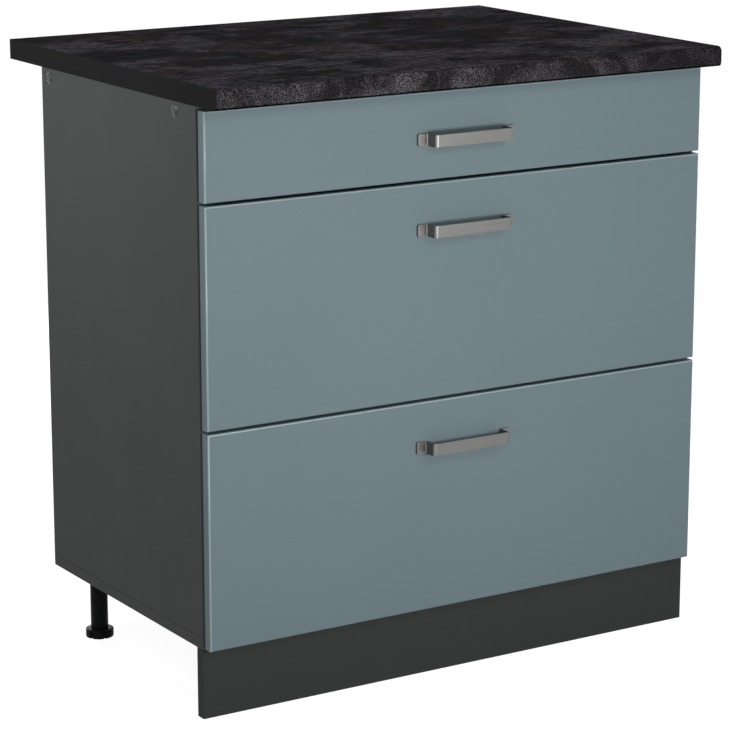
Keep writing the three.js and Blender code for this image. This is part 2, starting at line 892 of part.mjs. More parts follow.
for (const drawer of drawers) {
  const { name, frontZ, frontHeight, sideZ, backHeight, gallery } = drawer;
  const handleZ = frontZ + frontHeight - handleDrop;
  const baseZ = sideZ + steel;
  const boxHalf = drawerInnerHalf - drawerFitClearance;
  addPiece(`${name}_drawer_front`, drawerFront(drawer, handleZ), finishes.greyBlueFront);
  addPiece(`${name}_drawer_handle`, handle(handleZ), finishes.brushedNickel);
  addPiece(
    `${name}_drawer_base`,
    block([-boxHalf, boxHalf], [frontRearY, drawerRearY], [baseZ, baseZ + board]),
    finishes.drawerBoard,
  );
  addPiece(
    `${name}_drawer_back`,
    block([-boxHalf, boxHalf], [drawerBackFrontY, drawerRearY], [baseZ + board, baseZ + board + backHeight]),
    finishes.drawerBoard,
  );
  for (const { name: sideName, sign } of sides) {
    addPiece(`${name}_drawer_side_${sideName}`, drawerSide(sign, sideZ), finishes.greyPowderCoat);
    addPiece(
      `${name}_drawer_roller_${sideName}`,
      rollerWheel(sign, drawerRoller, drawerRollerY, sideZ + drawerRollerAxis),
      finishes.whiteNylon,
    );
    addPiece(`${name}_runner_${sideName}`, cabinetChannel(sign, sideZ), finishes.greyPowderCoat);
    addPiece(
      `${name}_runner_roller_${sideName}`,
      rollerWheel(sign, cabinetRoller, cabinetRollerY, sideZ + cabinetRollerAxis),
      finishes.whiteNylon,
    );
    if (gallery) {
      addPiece(`${name}_gallery_rail_${sideName}`, galleryRail(sign, sideZ), finishes.greyPowderCoat);
    }
  }
}

export default cabinet;
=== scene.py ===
import json
import math
from typing import NamedTuple

import bmesh
import bpy
from mathutils import Matrix, Vector


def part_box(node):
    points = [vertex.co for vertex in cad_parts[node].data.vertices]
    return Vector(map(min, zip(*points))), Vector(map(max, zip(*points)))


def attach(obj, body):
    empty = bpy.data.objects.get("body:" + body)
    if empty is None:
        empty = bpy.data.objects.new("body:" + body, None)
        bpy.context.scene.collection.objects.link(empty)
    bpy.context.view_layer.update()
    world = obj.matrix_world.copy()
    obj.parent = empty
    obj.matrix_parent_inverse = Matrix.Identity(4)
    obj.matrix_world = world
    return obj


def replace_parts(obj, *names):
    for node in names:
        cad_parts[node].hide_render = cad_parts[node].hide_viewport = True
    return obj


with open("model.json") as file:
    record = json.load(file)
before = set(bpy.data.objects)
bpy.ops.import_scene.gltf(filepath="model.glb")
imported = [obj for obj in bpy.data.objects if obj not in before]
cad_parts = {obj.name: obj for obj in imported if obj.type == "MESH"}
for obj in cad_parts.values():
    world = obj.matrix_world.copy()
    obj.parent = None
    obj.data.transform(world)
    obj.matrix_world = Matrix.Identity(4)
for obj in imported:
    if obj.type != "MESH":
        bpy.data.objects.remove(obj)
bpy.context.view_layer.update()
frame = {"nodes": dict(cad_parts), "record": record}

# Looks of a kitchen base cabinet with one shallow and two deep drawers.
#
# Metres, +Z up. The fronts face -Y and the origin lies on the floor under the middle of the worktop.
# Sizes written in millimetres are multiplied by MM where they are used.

MM = 0.001
NEAR = 0.1 * MM  # a point closer than this to a plane lies on it
WELD = 0.01 * MM  # points closer than this are one
record = frame["record"]
body_of = {node: body for body, nodes in record["behaviour"]["bodies"].items() for node in nodes}
DRAWERS = ("top", "middle", "bottom")
SIDES = {"left": -1, "right": 1}
FACING = 0.9  # a face points along an axis if its normal's share on it is more than this
SHARE, FIRST, SECOND = 0, 6, 7  # the inputs of a Mix node that mixes colours


# Colours, pattern scales and nodes


def linear(hex_colour):
    """The linear colour, with alpha, of an sRGB hex value."""
    channels = [int(hex_colour[at:at + 2], 16) / 255 for at in (1, 3, 5)]
    return (*(c / 12.92 if c <= 0.04045 else ((c + 0.055) / 1.055) ** 2.4 for c in channels), 1.0)


def per(millimetres):
    """The scale, on Object coordinates, of a pattern whose features are that wide."""
    return 1 / (millimetres * MM)


def add(tree, kind, inputs=None, **settings):
    """A node of one kind, with its settings.

    An input takes a value, a link from a socket, or a link from a node's first output that is in use.
    """
    made = tree.nodes.new(kind)
    for name, value in settings.items():
        setattr(made, name, value)
    for key, value in (inputs or {}).items():
        if isinstance(value, bpy.types.Node):
            value = next(output for output in value.outputs if output.enabled)
        if isinstance(value, bpy.types.NodeSocket):
            tree.links.new(value, made.inputs[key])
        else:
            made.inputs[key].default_value = value
    return made


def blank_material(name):
    """A new material, its empty tree and its Object coordinates."""
    material = bpy.data.materials.new(name)
    material.use_nodes = True
    tree = material.node_tree
    tree.nodes.clear()
    return material, tree, add(tree, "ShaderNodeTexCoord").outputs["Object"]


class Noise(NamedTuple):
    """A noise pattern. Most of its values lie between LOW_NOISE and HIGH_NOISE."""

    width: float  # of its features, in millimetres
    detail: float = 2
    roughness: float = 0.5  # of that detail
    stretch: tuple = (1, 1, 1)  # what its coordinates are multiplied by along X, Y and Z
    distortion: float = 0

    def inputs(self, spot):
        """The inputs of the pattern's node, which reads it at that spot."""
        return {
            "Vector": spot,
            "Scale": per(self.width),
            "Detail": self.detail,
            "Roughness": self.roughness,
            "Distortion": self.distortion,
        }


LOW_NOISE, HIGH_NOISE = 0.3, 0.7


def surface(name, shader, colour, relief, dullness):
    """A material whose colour, relief and roughness each follow a noise pattern.

    shader holds what is the same all over. colour is (pattern, tone, other tone), relief is rows of
    (pattern, depth in millimetres, strength), the lowest first, and dullness is (pattern, least
    roughness, greatest roughness).
    """
    material, tree, place = blank_material(name)
    noise = {}
    for pattern in dict.fromkeys((colour[0], dullness[0], *(row[0] for row in relief))):
        spot = add(tree, "ShaderNodeVectorMath", {0: place, 1: pattern.stretch}, operation="MULTIPLY")
        noise[pattern] = add(tree, "ShaderNodeTexNoise", pattern.inputs(spot))
    pattern, tone, other = colour
    tones = {SHARE: noise[pattern], FIRST: linear(tone), SECOND: linear(other)}
    normal = {}
    for pattern, depth, strength in relief:
        raised = {"Height": noise[pattern], "Distance": depth * MM, "Strength": strength, **normal}
        normal = {"Normal": add(tree, "ShaderNodeBump", raised)}
    pattern, least, greatest = dullness
    dull = {
        "Value": noise[pattern],
        "From Min": LOW_NOISE,
        "From Max": HIGH_NOISE,
        "To Min": least,
        "To Max": greatest,
    }
    driven = {
        "Base Color": add(tree, "ShaderNodeMix", tones, data_type="RGBA"),
        "Roughness": add(tree, "ShaderNodeMapRange", dull),
        **normal,
    }
    principled = add(tree, "ShaderNodeBsdfPrincipled", {**shader, **driven})
    add(tree, "ShaderNodeOutputMaterial", {"Surface": principled})
    return material


# Finishes of the boards
#
# Grains finer than 0.5 mm don't show in the picture. Where a finish has one, it is drawn 0.9 to
# 1.6 mm wide, or 0.55 mm for hairlines, and its docstring gives its real size.
#
# The usual specular level is 0.5. Where a finish sets a lower one, that is matched to the little sheen
# in the picture and isn't a typical value, so under other lamps it may look duller than the real one.


def melamine(name, tone, other, roughness=0.46):
    """Melamine-faced chipboard: a coloured paper pressed under resin against a fine matt plate.

    The plate leaves a dry, even surface with pearls of about 0.4 mm, which are drawn 1.6 mm wide. A
    very faint cloud comes from the paper's print.
    """
    return surface(
        name,
        {"IOR": 1.5, "Specular IOR Level": 0.02},
        colour=(Noise(55, 3), tone, other),
        relief=[(Noise(1.6, 1), 0.05, 0.35)],
        dullness=(Noise(90), roughness - 0.03, roughness + 0.04),
    )


def chipboard_edge():
    """Raw chipboard, sawn: pale chips of 1 to 4 mm pressed flat, resin-dark between them, dry and rough."""
    material, tree, place = blank_material("raw sawn chipboard")
    pressed = add(tree, "ShaderNodeVectorMath", {0: place, 1: (0.7, 1, 0.7)}, operation="MULTIPLY")
    chip_width, fine_width = 2.2, 0.9
    chips, fines = (
        add(tree, "ShaderNodeTexVoronoi", {"Vector": pressed, "Scale": per(width)})
        for width in (chip_width, fine_width)
    )
    chip, fine = (
        add(tree, "ShaderNodeSeparateColor", {0: cells.outputs["Color"]}) for cells in (chips, fines)
    )
    depth = chips.outputs["Distance"]
    bits = {"Value": fine, "From Min": 0.7, "From Max": 0.9, "To Max": 0.55}
    gaps = {"Value": depth, "From Min": 0.55, "From Max": 0.95, "To Max": 0.5}
    tones = {SHARE: chip, FIRST: linear("#a98d68"), SECOND: linear("#d0b895")}
    wood = add(tree, "ShaderNodeMix", tones, data_type="RGBA")
    for amount, dark in ((bits, "#7d6244"), (gaps, "#6d563b")):
        tones = {SHARE: add(tree, "ShaderNodeMapRange", amount), FIRST: wood, SECOND: linear(dark)}
        wood = add(tree, "ShaderNodeMix", tones, data_type="RGBA")
    shader = {
        "Base Color": wood,
        "Roughness": 0.88,
        "IOR": 1.45,
        "Specular IOR Level": 0.2,
        "Normal": add(tree, "ShaderNodeBump", {"Height": depth, "Distance": 0.4 * MM, "Strength": 0.5}),
    }
    add(tree, "ShaderNodeOutputMaterial", {"Surface": add(tree, "ShaderNodeBsdfPrincipled", shader)})
    return material


def hardboard():
    """Thin hardboard with a plain grey print: flat, a little blotchy, with the fibres felt under it."""
    blotch = Noise(30, 4, 0.6)
    return surface(
        "grey printed hardboard",
        {"IOR": 1.48},
        colour=(blotch, "#505352", "#5d605f"),
        relief=[(Noise(1.4, 3, stretch=(1, 1, 0.4)), 0.08, 0.4)],
        dullness=(blotch, 0.55, 0.68),
    )


def lacquer(name, tone, other, gloss, roughness):
    """Fibreboard under a matt grey-blue lacquer: even and soft, with the faint waves of a sprayed coat.

    Its dust nibs of about 0.3 mm are drawn 1.3 mm wide. The copy used on the rounded edges is paler, which
    is a painted highlight, and it also has a really shinier coat.
    """
    cloud = Noise(240, 1)
    return surface(
        name,
        {"IOR": 1.5, "Specular IOR Level": gloss},
        colour=(cloud, tone, other),
        relief=[(Noise(7, 1), 0.04, 0.25), (Noise(1.3, 1), 0.015, 0.25)],
        dullness=(cloud, roughness, roughness + 0.06),
    )


def slate_laminate(corner):
    """High-pressure laminate with a slate print, rolled over the front edge in one sheet.

    The print has a dark ground that is a little warmer or colder from place to place. On it lie worn
    places broken by long soft streaks, tile-like patches of 160 by 105 mm that are worn a little more
    or less, fine pale scores and a mineral speckle. On the rolled edge the grain is coarser, lies in
    clumps and thins out towards the right. Where the sheet turns under, the print gives way to a
    near-black painted shade. corner is the worktop's lowest corner.
    """
    material, tree, place = blank_material("slate-effect laminate")
    noise = {}
    for label, pattern in {
        "wander": Noise(18, 3),
        "clouds": Noise(55, 5, 0.62, (0.6, 1, 1), 0.5),
        "streaks": Noise(4.5, 5, 0.7, (0.35, 1, 1), 0.3),
        "mottle": Noise(16, 4, 0.65, (0.5, 1, 1)),
        "speckle": Noise(1.5, 3, 0.7),
        "hue": Noise(95, 2, 0.5, (0.6, 1, 1), 0.4),
        "scores": Noise(2.8, 2, 0.6, (0.1, 1, 1), 0.4),
        "clumps": Noise(48, 4, 0.6, (1, 1, 1), 0.6),
        "grit": Noise(1.9, 3, 0.7),
    }.items():
        spot = add(tree, "ShaderNodeVectorMath", {0: place, 1: pattern.stretch}, operation="MULTIPLY")
        noise[label] = add(tree, "ShaderNodeTexNoise", pattern.inputs(spot))

    aside = add(tree, "ShaderNodeCombineXYZ", {0: noise["wander"], 1: noise["wander"]})
    reach = (15 * MM, 8 * MM, 0)  # how far the patches' edges wander
    wandered = {0: aside, 1: reach, 2: place}
    tiles = {
        "Vector": add(tree, "ShaderNodeVectorMath", wandered, operation="MULTIPLY_ADD"),
        "Color1": (0, 0, 0, 1),
        "Color2": (1, 1, 1, 1),
        "Scale": 1.0,
        "Mortar Size": 0.0,
        "Brick Width": 160 * MM,
        "Row Height": 105 * MM,
    }
    patch = add(tree, "ShaderNodeTexBrick", tiles)
    patch_weight = 0.18
    worn = {0: patch, 1: patch_weight, 2: noise["clouds"]}
    wear = add(tree, "ShaderNodeMath", worn, operation="MULTIPLY_ADD")

    # How much of each effect there is, from a range of its pattern or of the place
    across, forward, up = add(tree, "ShaderNodeSeparateXYZ", {0: place}).outputs
    level = {}
    for label, source, low, high, to_low, to_high, way in (
        ("worn", wear, 0.52, 0.76, 0, 1, "LINEAR"),
        ("streaked", noise["streaks"], 0.46, 0.55, 0, 1, "LINEAR"),
        ("speckled", noise["speckle"], 0.34, 0.62, 0.45, 1, "LINEAR"),
        ("mottled", noise["mottle"], 0.36, 0.62, 0, 1, "LINEAR"),
        ("cold", noise["hue"], 0.42, 0.58, 0, 1, "LINEAR"),
        ("scored", noise["scores"], 0.57, 0.64, 0, 0.75, "LINEAR"),
        ("bare", wear, 0.53, 0.70, 0, 1, "LINEAR"),
        ("grained", noise["grit"], 0.44, 0.63, 0, 1, "LINEAR"),
        ("clumped", noise["clumps"], 0.43, 0.66, 0.16, 1, "LINEAR"),
        ("thinned", across, 100 * MM, 360 * MM, 1, 0.4, "SMOOTHSTEP"),
        ("rolled", forward, corner.y + 9 * MM, corner.y + 4 * MM, 0, 1, "SMOOTHSTEP"),
        # the lowest few millimetres of the rolled edge, where the painted shade goes
        ("under", up, corner.z + 3.6 * MM, corner.z + 2.4 * MM, 0, 1, "SMOOTHSTEP"),
        ("dull", noise["streaks"], LOW_NOISE, HIGH_NOISE, 0.80, 0.92, "LINEAR"),
    ):
        inputs = {"Value": source, "From Min": low, "From Max": high, "To Min": to_low, "To Max": to_high}
        level[label] = add(tree, "ShaderNodeMapRange", inputs, interpolation_type=way)
    for label, factors in {
        "worn in streaks": ("worn", "streaked", "speckled"),
        "scored where bare": ("scored", "bare"),
        "grained in clumps": ("grained", "clumped", "thinned"),
    }.items():
        level[label] = level[factors[0]]
        for factor in factors[1:]:
            product = {0: level[label], 1: level[factor]}
            level[label] = add(tree, "ShaderNodeMath", product, operation="MULTIPLY")

    colour = {}
    for label, share, tone, other in (
        ("tint", "cold", "#2c2729", "#28282e"),
        ("ground", "mottled", "#141413", "tint"),
        ("worn tone", "cold", "#645c63", "#5d5d66"),
        ("worn print", "worn in streaks", "ground", "worn tone"),
        ("flat print", "scored where bare", "worn print", "#77737a"),
        ("rolled print", "grained in clumps", "#181718", "#7b767e"),
        ("print", "rolled", "flat print", "rolled print"),
        # near black where the sheet turns under: painted shade in place of the print
        ("sheet", "under", "print", "#080808"),
    ):
        first, second = (linear(name) if name.startswith("#") else colour[name] for name in (tone, other))
        tones = {SHARE: level[share], FIRST: first, SECOND: second}
        colour[label] = add(tree, "ShaderNodeMix", tones, data_type="RGBA")

    pits = {"Height": noise["speckle"], "Distance": 0.06 * MM, "Strength": 0.35}
    waves = {"Height": noise["streaks"], "Distance": 0.12 * MM, "Strength": 0.3}
    shader = {
        "Base Color": colour["sheet"],
        "Roughness": level["dull"],
        "IOR": 1.5,
        "Specular IOR Level": 0.004,
        "Normal": add(tree, "ShaderNodeBump", {**waves, "Normal": add(tree, "ShaderNodeBump", pits)}),
    }
    add(tree, "ShaderNodeOutputMaterial", {"Surface": add(tree, "ShaderNodeBsdfPrincipled", shader)})
    return material


def edging():
    """Plain dark edging of the worktop's ends: a calendered plastic strip, satin, with a faint grain.

    The grain of about 0.2 mm is drawn 1.1 mm wide.
    """
    cloud = Noise(12, stretch=(1, 0.3, 1))
    return surface(
        "dark ABS edging",
        {"IOR": 1.52, "Specular IOR Level": 0.01},
        colour=(cloud, "#212121", "#252525"),
        relief=[(Noise(1.1, 1), 0.03, 0.3)],
        dullness=(cloud, 0.48, 0.56),
    )


def backing_paper():
    """Balancing paper under the worktop: brown kraft under resin, dull, with long fibres."""
    fibres = Noise(2.4, 4, 0.7, (0.12, 1, 1))
    return surface(
        "kraft backing paper",
        {"IOR": 1.45},
        colour=(fibres, "#4b3d30", "#69573f"),
        relief=[(fibres, 0.06, 0.4)],
        dullness=(fibres, 0.62, 0.78),
    )


# Finishes of the fittings


def brushed_nickel():
    """Nickel-plated zinc, brushed along the strap: grey metal with hairlines, brighter on its bends.

    The hairlines of about 0.1 mm are drawn 0.55 mm wide.
    """
    hairs = Noise(0.55, 3, 0.65, (0.012, 0.012, 1))
    return surface(
        "brushed nickel",
        {"Metallic": 1.0},
        colour=(hairs, "#6a6a69", "#777776"),
        relief=[(hairs, 0.03, 0.4)],
        dullness=(hairs, 0.3, 0.42),
    )


def powder_coat():
    """Folded steel under a light grey powder coat: baked resin, satin, with an orange-peel skin."""
    peel = Noise(1.8, 1)
    return surface(
        "grey powder coat on steel",
        {"IOR": 1.5},
        colour=(Noise(70), "#9fa2a3", "#a9acac"),
        relief=[(peel, 0.06, 0.35)],
        dullness=(peel, 0.36, 0.46),
    )


def zinc_plate():
    """Zinc-plated steel: a bright grey metal, cloudy with the passivation's faint cold tint."""
    cloud = Noise(6, 4, 0.6)
    return surface(
        "zinc-plated steel",
        {"Metallic": 1.0},
        colour=(cloud, "#a9adb0", "#c3c5c2"),
        relief=[(Noise(1.2), 0.03, 0.3)],
        dullness=(cloud, 0.3, 0.46),
    )


def nylon():
    """Moulded white nylon: waxy, a little translucent and warm, with a faint mould grain.

    The grain of about 0.2 mm is drawn 0.9 mm wide.
    """
    cloud = Noise(7)
    return surface(
        "moulded white nylon",
        {"IOR": 1.53, "Subsurface Weight": 0.15, "Subsurface Scale": 4 * MM},
        colour=(cloud, "#e2dfd8", "#ece9e3"),
        relief=[(Noise(0.9), 0.03, 0.25)],
        dullness=(cloud, 0.38, 0.5),
    )


def cap_plastic():
    """Moulded polystyrene of the cover caps, coloured to the board: shiny from a polished mould."""
    cloud = Noise(5)
    return surface(
        "moulded anthracite polystyrene",
        {"IOR": 1.55, "Specular IOR Level": 0.2},
        colour=(cloud, "#323534", "#383b3a"),
        relief=[(Noise(0.9, 1), 0.02, 0.2)],
        dullness=(cloud, 0.15, 0.2),
    )


def black_polypropylene():
    """Moulded black polypropylene: near black, with a soft sheen and a spark-eroded grain.

    The grain of about 0.1 mm is drawn 0.9 mm wide.
    """
    cloud = Noise(14)
    return surface(
        "moulded black polypropylene",
        {"IOR": 1.49, "Specular IOR Level": 0.03},
        colour=(cloud, "#1d1d1e", "#232426"),
        relief=[(Noise(0.9), 0.05, 0.35)],
        dullness=(cloud, 0.42, 0.52),
    )


worktop_low, worktop_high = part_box("worktop")
ANTHRACITE = melamine("anthracite melamine board", "#545655", "#585a59")
PLINTH_GREY = melamine("dark anthracite melamine board", "#3e403f", "#424443")
LIGHT_GREY = melamine("light grey melamine board", "#b3b6b6", "#bcbfbf", 0.5)
CHIPBOARD = chipboard_edge()
HARDBOARD = hardboard()
LACQUER = lacquer("matt grey-blue lacquer", "#708186", "#74858a", 0.12, 0.40)
# a paler copy of the lacquer for the rounded edges: a painted highlight, with a shinier coat
EDGE_LACQUER_PAINTED_HIGHLIGHT = lacquer("grey-blue lacquer with a painted highlight on the edges", "#93a6ab", "#98abb0", 0.5, 0.28)
SLATE = slate_laminate(worktop_low)
EDGING = edging()
KRAFT = backing_paper()
NICKEL = brushed_nickel()
POWDER_COAT = powder_coat()
ZINC = zinc_plate()
NYLON = nylon()
CAP_PLASTIC = cap_plastic()
BLACK_PLASTIC = black_polypropylene()


# Making and placing pieces


def mesh_from(work, name):
    """A mesh from a finished bmesh, its faces turned outwards."""
    bmesh.ops.recalc_face_normals(work, faces=work.faces)
    mesh = bpy.data.meshes.new(name)
    work.to_mesh(mesh)
    work.free()
    return mesh


def shaded(mesh, angle=35):
    """Smooth shading, with creases where faces meet at more than the angle, in degrees."""
    mesh.shade_smooth()
    mesh.set_sharp_from_angle(angle=math.radians(angle))
    return mesh


def evaluated(carrier):
    """The plain mesh of an object after its modifiers. The object is removed."""
    bpy.context.scene.collection.objects.link(carrier)
    graph = bpy.context.evaluated_depsgraph_get()
    result = bpy.data.meshes.new_from_object(carrier.evaluated_get(graph))
    bpy.data.objects.remove(carrier)
    return result


def applied(mesh, *modifiers):
    """The mesh after modifiers, each given as (kind, settings)."""
    carrier = bpy.data.objects.new(mesh.name, mesh)
    for kind, settings in modifiers:
        modifier = carrier.modifiers.new(kind.lower(), kind)
        for key, value in settings.items():
            setattr(modifier, key, value)
    return evaluated(carrier)


def eased(mesh, width=0.4, angle=35):
    """The mesh with its sharp edges rounded a little, and flat faces that stay flat to the eye."""
    bevel = {
        "width": width * MM,
        "segments": 2,
        "limit_method": "ANGLE",
        "angle_limit": math.radians(angle),
    }
    return applied(shaded(mesh, angle), ("BEVEL", bevel), ("WEIGHTED_NORMAL", {"keep_sharp": False}))


def flat_faced(mesh, angle=50):
    """The mesh shaded smooth between its creases, with large faces that stay flat to the eye."""
    return applied(shaded(mesh, angle), ("WEIGHTED_NORMAL", {"keep_sharp": True}))


def node_tree(name, sockets):
    """A Geometry Nodes tree with named inputs, and the outputs of its input node."""
    tree = bpy.data.node_groups.new(name, "GeometryNodeTree")
    tree.interface.new_socket("Geometry", in_out="OUTPUT", socket_type="NodeSocketGeometry")
    for label, kind in {"Geometry": "Geometry", **sockets, "Finish": "Material"}.items():
        tree.interface.new_socket(label, in_out="INPUT", socket_type=f"NodeSocket{kind}")
    return tree, add(tree, "NodeGroupInput").outputs


def end_tree(tree, given, shape):
    """The end that every tree shares: its instances made real, and its finish."""
    whole = add(tree, "GeometryNodeRealizeInstances", {"Geometry": shape})
    finished = add(tree, "GeometryNodeSetMaterial", {"Geometry": whole, "Material": given["Finish"]})
    add(tree, "NodeGroupOutput", {"Geometry": finished})


def grown(tree, start, values):
    """The plain mesh that a tree makes from a starting mesh, with its named inputs set."""
    carrier = bpy.data.objects.new(tree.name, start)
    modifier = carrier.modifiers.new(tree.name, "NODES")
    modifier.node_group = tree
    for item in tree.interface.items_tree:
        if item.name in values:
            modifier[item.identifier] = values[item.name]
    return evaluated(carrier)


def node_mesh(node):
    """A merged copy of a CAD node's mesh, with its flat faces whole again."""
    work = bmesh.new()
    work.from_mesh(frame["nodes"][node].data)
    bmesh.ops.remove_doubles(work, verts=work.verts, dist=WELD)
    bmesh.ops.dissolve_limit(work, angle_limit=math.radians(0.5), verts=work.verts, edges=work.edges)
    mesh = bpy.data.meshes.new(node)
    work.to_mesh(mesh)
    work.free()
    return mesh


def paint(mesh, *finishes):
    """The first finish all over, and each further one on the faces that its test picks."""
    mesh.materials.clear()
    mesh.materials.append(finishes[0])
    for face in mesh.polygons:
        face.material_index = 0
    for index, (material, picks) in enumerate(finishes[1:], start=1):
        mesh.materials.append(material)
        for face in mesh.polygons:
            if picks(face.center, face.normal):
                face.material_index = index
    return mesh


def put(name, mesh, node):
    """A piece on the body of a CAD node."""
    piece = bpy.data.objects.new(name, mesh)
    bpy.context.scene.collection.objects.link(piece)
    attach(piece, body_of[node])
    return piece


def stand_for(node, suffix, mesh):
    """Puts in place the finished piece that stands for a CAD node."""
    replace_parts(put(f"{node}_{suffix}", mesh, node), node)


def lathed(profile, axis, centre, steps=64):
    """A closed solid turned from (radius, place) points in millimetres about an axis."""
    work = bmesh.new()
    turns = [2 * math.pi * step / steps for step in range(steps)]
    rings = []
    for radius, along in profile:
        reach = radius * MM
        ring = [(reach * math.cos(turn), reach * math.sin(turn), along * MM) for turn in turns]
        rings.append([work.verts.new(point) for point in (ring if radius else ring[:1])])
    for low, high in zip(rings, rings[1:] + rings[:1]):
        for step in range(steps):
            after = (step + 1) % steps
            corners = ((low, step), (low, after), (high, after), (high, step))
            unique = list(dict.fromkeys(verts[at % len(verts)] for verts, at in corners))
            if len(unique) > 2:
                work.faces.new(unique)
    turned = {"x": Matrix.Rotation(math.pi / 2, 4, "Y"), "y": Matrix.Rotation(-math.pi / 2, 4, "X")}
    work.transform(turned.get(axis, Matrix.Identity(4)))
    work.transform(Matrix.Translation(centre))
    return mesh_from(work, "turned")


def rounded(radius, along, size, middle, upper=False):
    """Three points round a lower or an upper corner at the outside of a profile, in millimetres.

    The rounding reaches size along both sides, and its middle is cut back by middle.
    """
    rise = -1 if upper else 1
    steps = ((size, 0), (middle, middle), (0, size))
    points = [(radius - back, along + rise * up) for back, up in steps]
    return points[::-1] if upper else points


def lofted(rings, name):
    """A solid with flat ends through rings, which are lists of as many points each."""
    work = bmesh.new()
    loops = [[work.verts.new(point) for point in ring] for ring in rings]
    for low, high in zip(loops, loops[1:]):
        for at in range(len(low)):
            after = (at + 1) % len(low)
            work.faces.new([low[at], low[after], high[after], high[at]])
    work.faces.new(loops[0])
    work.faces.new(loops[-1])
    return mesh_from(work, name)


def prism(outline, low, high):
    """A solid of one outline, given in metres as (Y, Z), from one X to another."""
    return lofted([[(x, y, z) for y, z in outline] for x in (low, high)], "prism")


def merged(*meshes):
    """One mesh of several, each keeping its own shells."""
    work = bmesh.new()
    for mesh in meshes:
        work.from_mesh(mesh)
    whole = bpy.data.meshes.new(meshes[0].name)
    work.to_mesh(whole)
    work.free()
    return whole


def arc(centre, radius, start, end, steps):
    """Points on an arc, with its angles in degrees."""
    turns = [math.radians(start + (end - start) * step / steps) for step in range(steps + 1)]
    return [(centre[0] + radius * math.cos(turn), centre[1] + radius * math.sin(turn)) for turn in turns]


# Boards

BACK_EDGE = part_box("side_panel_left")[1].y
JOINT_HEIGHT, JOINT_DEPTH = 0.7, 1.5  # the dark joint seen between a side panel and the bottom panel


def carcass_board(mesh):
    """A board with banded edges, and the sawn chipboard bare at its rear edge."""
    return paint(
        eased(mesh),
        ANTHRACITE,
        (CHIPBOARD, lambda centre, normal: normal.y > FACING and centre.y > BACK_EDGE - NEAR),
    )


def open_joint(mesh):
    """Draws the bottom panel's upper edges in at its ends, under the side panels."""
    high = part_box("bottom_panel")[1]
    work = bmesh.new()
    work.from_mesh(mesh)
    geometry = [*work.verts, *work.edges, *work.faces]
    level = (0, 0, high.z - JOINT_HEIGHT * MM)
    bmesh.ops.bisect_plane(work, geom=geometry, plane_co=level, plane_no=(0, 0, 1))
    for vert in work.verts:
        if vert.co.z > high.z - NEAR and abs(vert.co.x) > high.x - NEAR:
            vert.co.x -= math.copysign(JOINT_DEPTH * MM, vert.co.x)
    work.to_mesh(mesh)
    work.free()
    return mesh


for node in ("side_panel_left", "side_panel_right", "rear_rail", "front_rail"):
    stand_for(node, "board", carcass_board(node_mesh(node)))
stand_for("bottom_panel", "board", carcass_board(open_joint(node_mesh("bottom_panel"))))
stand_for("plinth_board", "panel", paint(eased(node_mesh("plinth_board")), PLINTH_GREY))
stand_for("back_panel", "sheet", paint(eased(node_mesh("back_panel"), width=0.2), HARDBOARD))
for drawer in DRAWERS:
    for part in ("base", "back"):
        node = f"{drawer}_drawer_{part}"
        stand_for(node, "board", paint(eased(node_mesh(node)), LIGHT_GREY))

# Worktop

TOP_RADIUS, UNDER_RADIUS, ROLL_STEPS = 8, 6, 14
WRAP_UNDER = 32  # how far the laminate comes back under the front edge

front, rear, low, high = worktop_low.y, worktop_high.y, worktop_low.z, worktop_high.z
wrap_end = front + WRAP_UNDER * MM
worktop_outline = [
    *arc((front + UNDER_RADIUS * MM, low + UNDER_RADIUS * MM), UNDER_RADIUS * MM, 270, 180, ROLL_STEPS),
    *arc((front + TOP_RADIUS * MM, high - TOP_RADIUS * MM), TOP_RADIUS * MM, 180, 90, ROLL_STEPS),
    (rear, high),
    (rear, low),
    (wrap_end, low),
]
slab = paint(
    flat_faced(prism(worktop_outline, worktop_low.x, worktop_high.x), angle=40),
    SLATE,
    (CHIPBOARD, lambda centre, normal: normal.y > FACING),
    (KRAFT, lambda centre, normal: normal.z < -FACING and centre.y > wrap_end),
)
stand_for("worktop", "slab", slab)
for side in SIDES:
    node = f"worktop_edge_{side}"
    strip_low, strip_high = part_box(node)
    strip = eased(prism(worktop_outline, strip_low.x, strip_high.x), width=0.25, angle=60)
    stand_for(node, "strip", paint(strip, EDGING))

# Cover caps: flat in the middle and rounded down to the board, each on a stem

CAP_RADIUS, CAP_HEIGHT, CAP_RIM, CAP_STEM, CAP_STEM_LENGTH = 9, 1.4, 4, 3.8, 7
RIM_STEPS = 12

shares = [step / RIM_STEPS for step in range(RIM_STEPS + 1)]
cap_profile = [
    (0, -CAP_STEM_LENGTH),
    (CAP_STEM, -CAP_STEM_LENGTH),
    (CAP_STEM, 0),
    *[(CAP_RADIUS - CAP_RIM * share, CAP_HEIGHT * share**2 * (3 - 2 * share)) for share in shares],
    (0, CAP_HEIGHT),
]
for side, sign in SIDES.items():
    for end in ("front", "rear"):
        node = f"cover_cap_{end}_{side}"
        cap_low, cap_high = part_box(node)
        centre = (cap_low + cap_high) / 2
        centre.x = cap_low.x + CAP_HEIGHT * MM if sign < 0 else cap_high.x - CAP_HEIGHT * MM
        outwards = [(radius, sign * along) for radius, along in cap_profile]
        dome = shaded(lathed(outwards, "x", centre), angle=50)
        stand_for(node, "dome", paint(dome, CAP_PLASTIC))

# Drawer fronts

ARRIS, ARRIS_STEPS = 2.4, 8  # round the face
REAR_ARRIS, REAR_STEPS = 0.8, 3
FACE_END, SIDE_START = -0.99, -0.14  # the normal's Y where a rounded edge leaves the face and the side
FACING_DOWN = -0.1  # the lower edges don't get the painted highlight
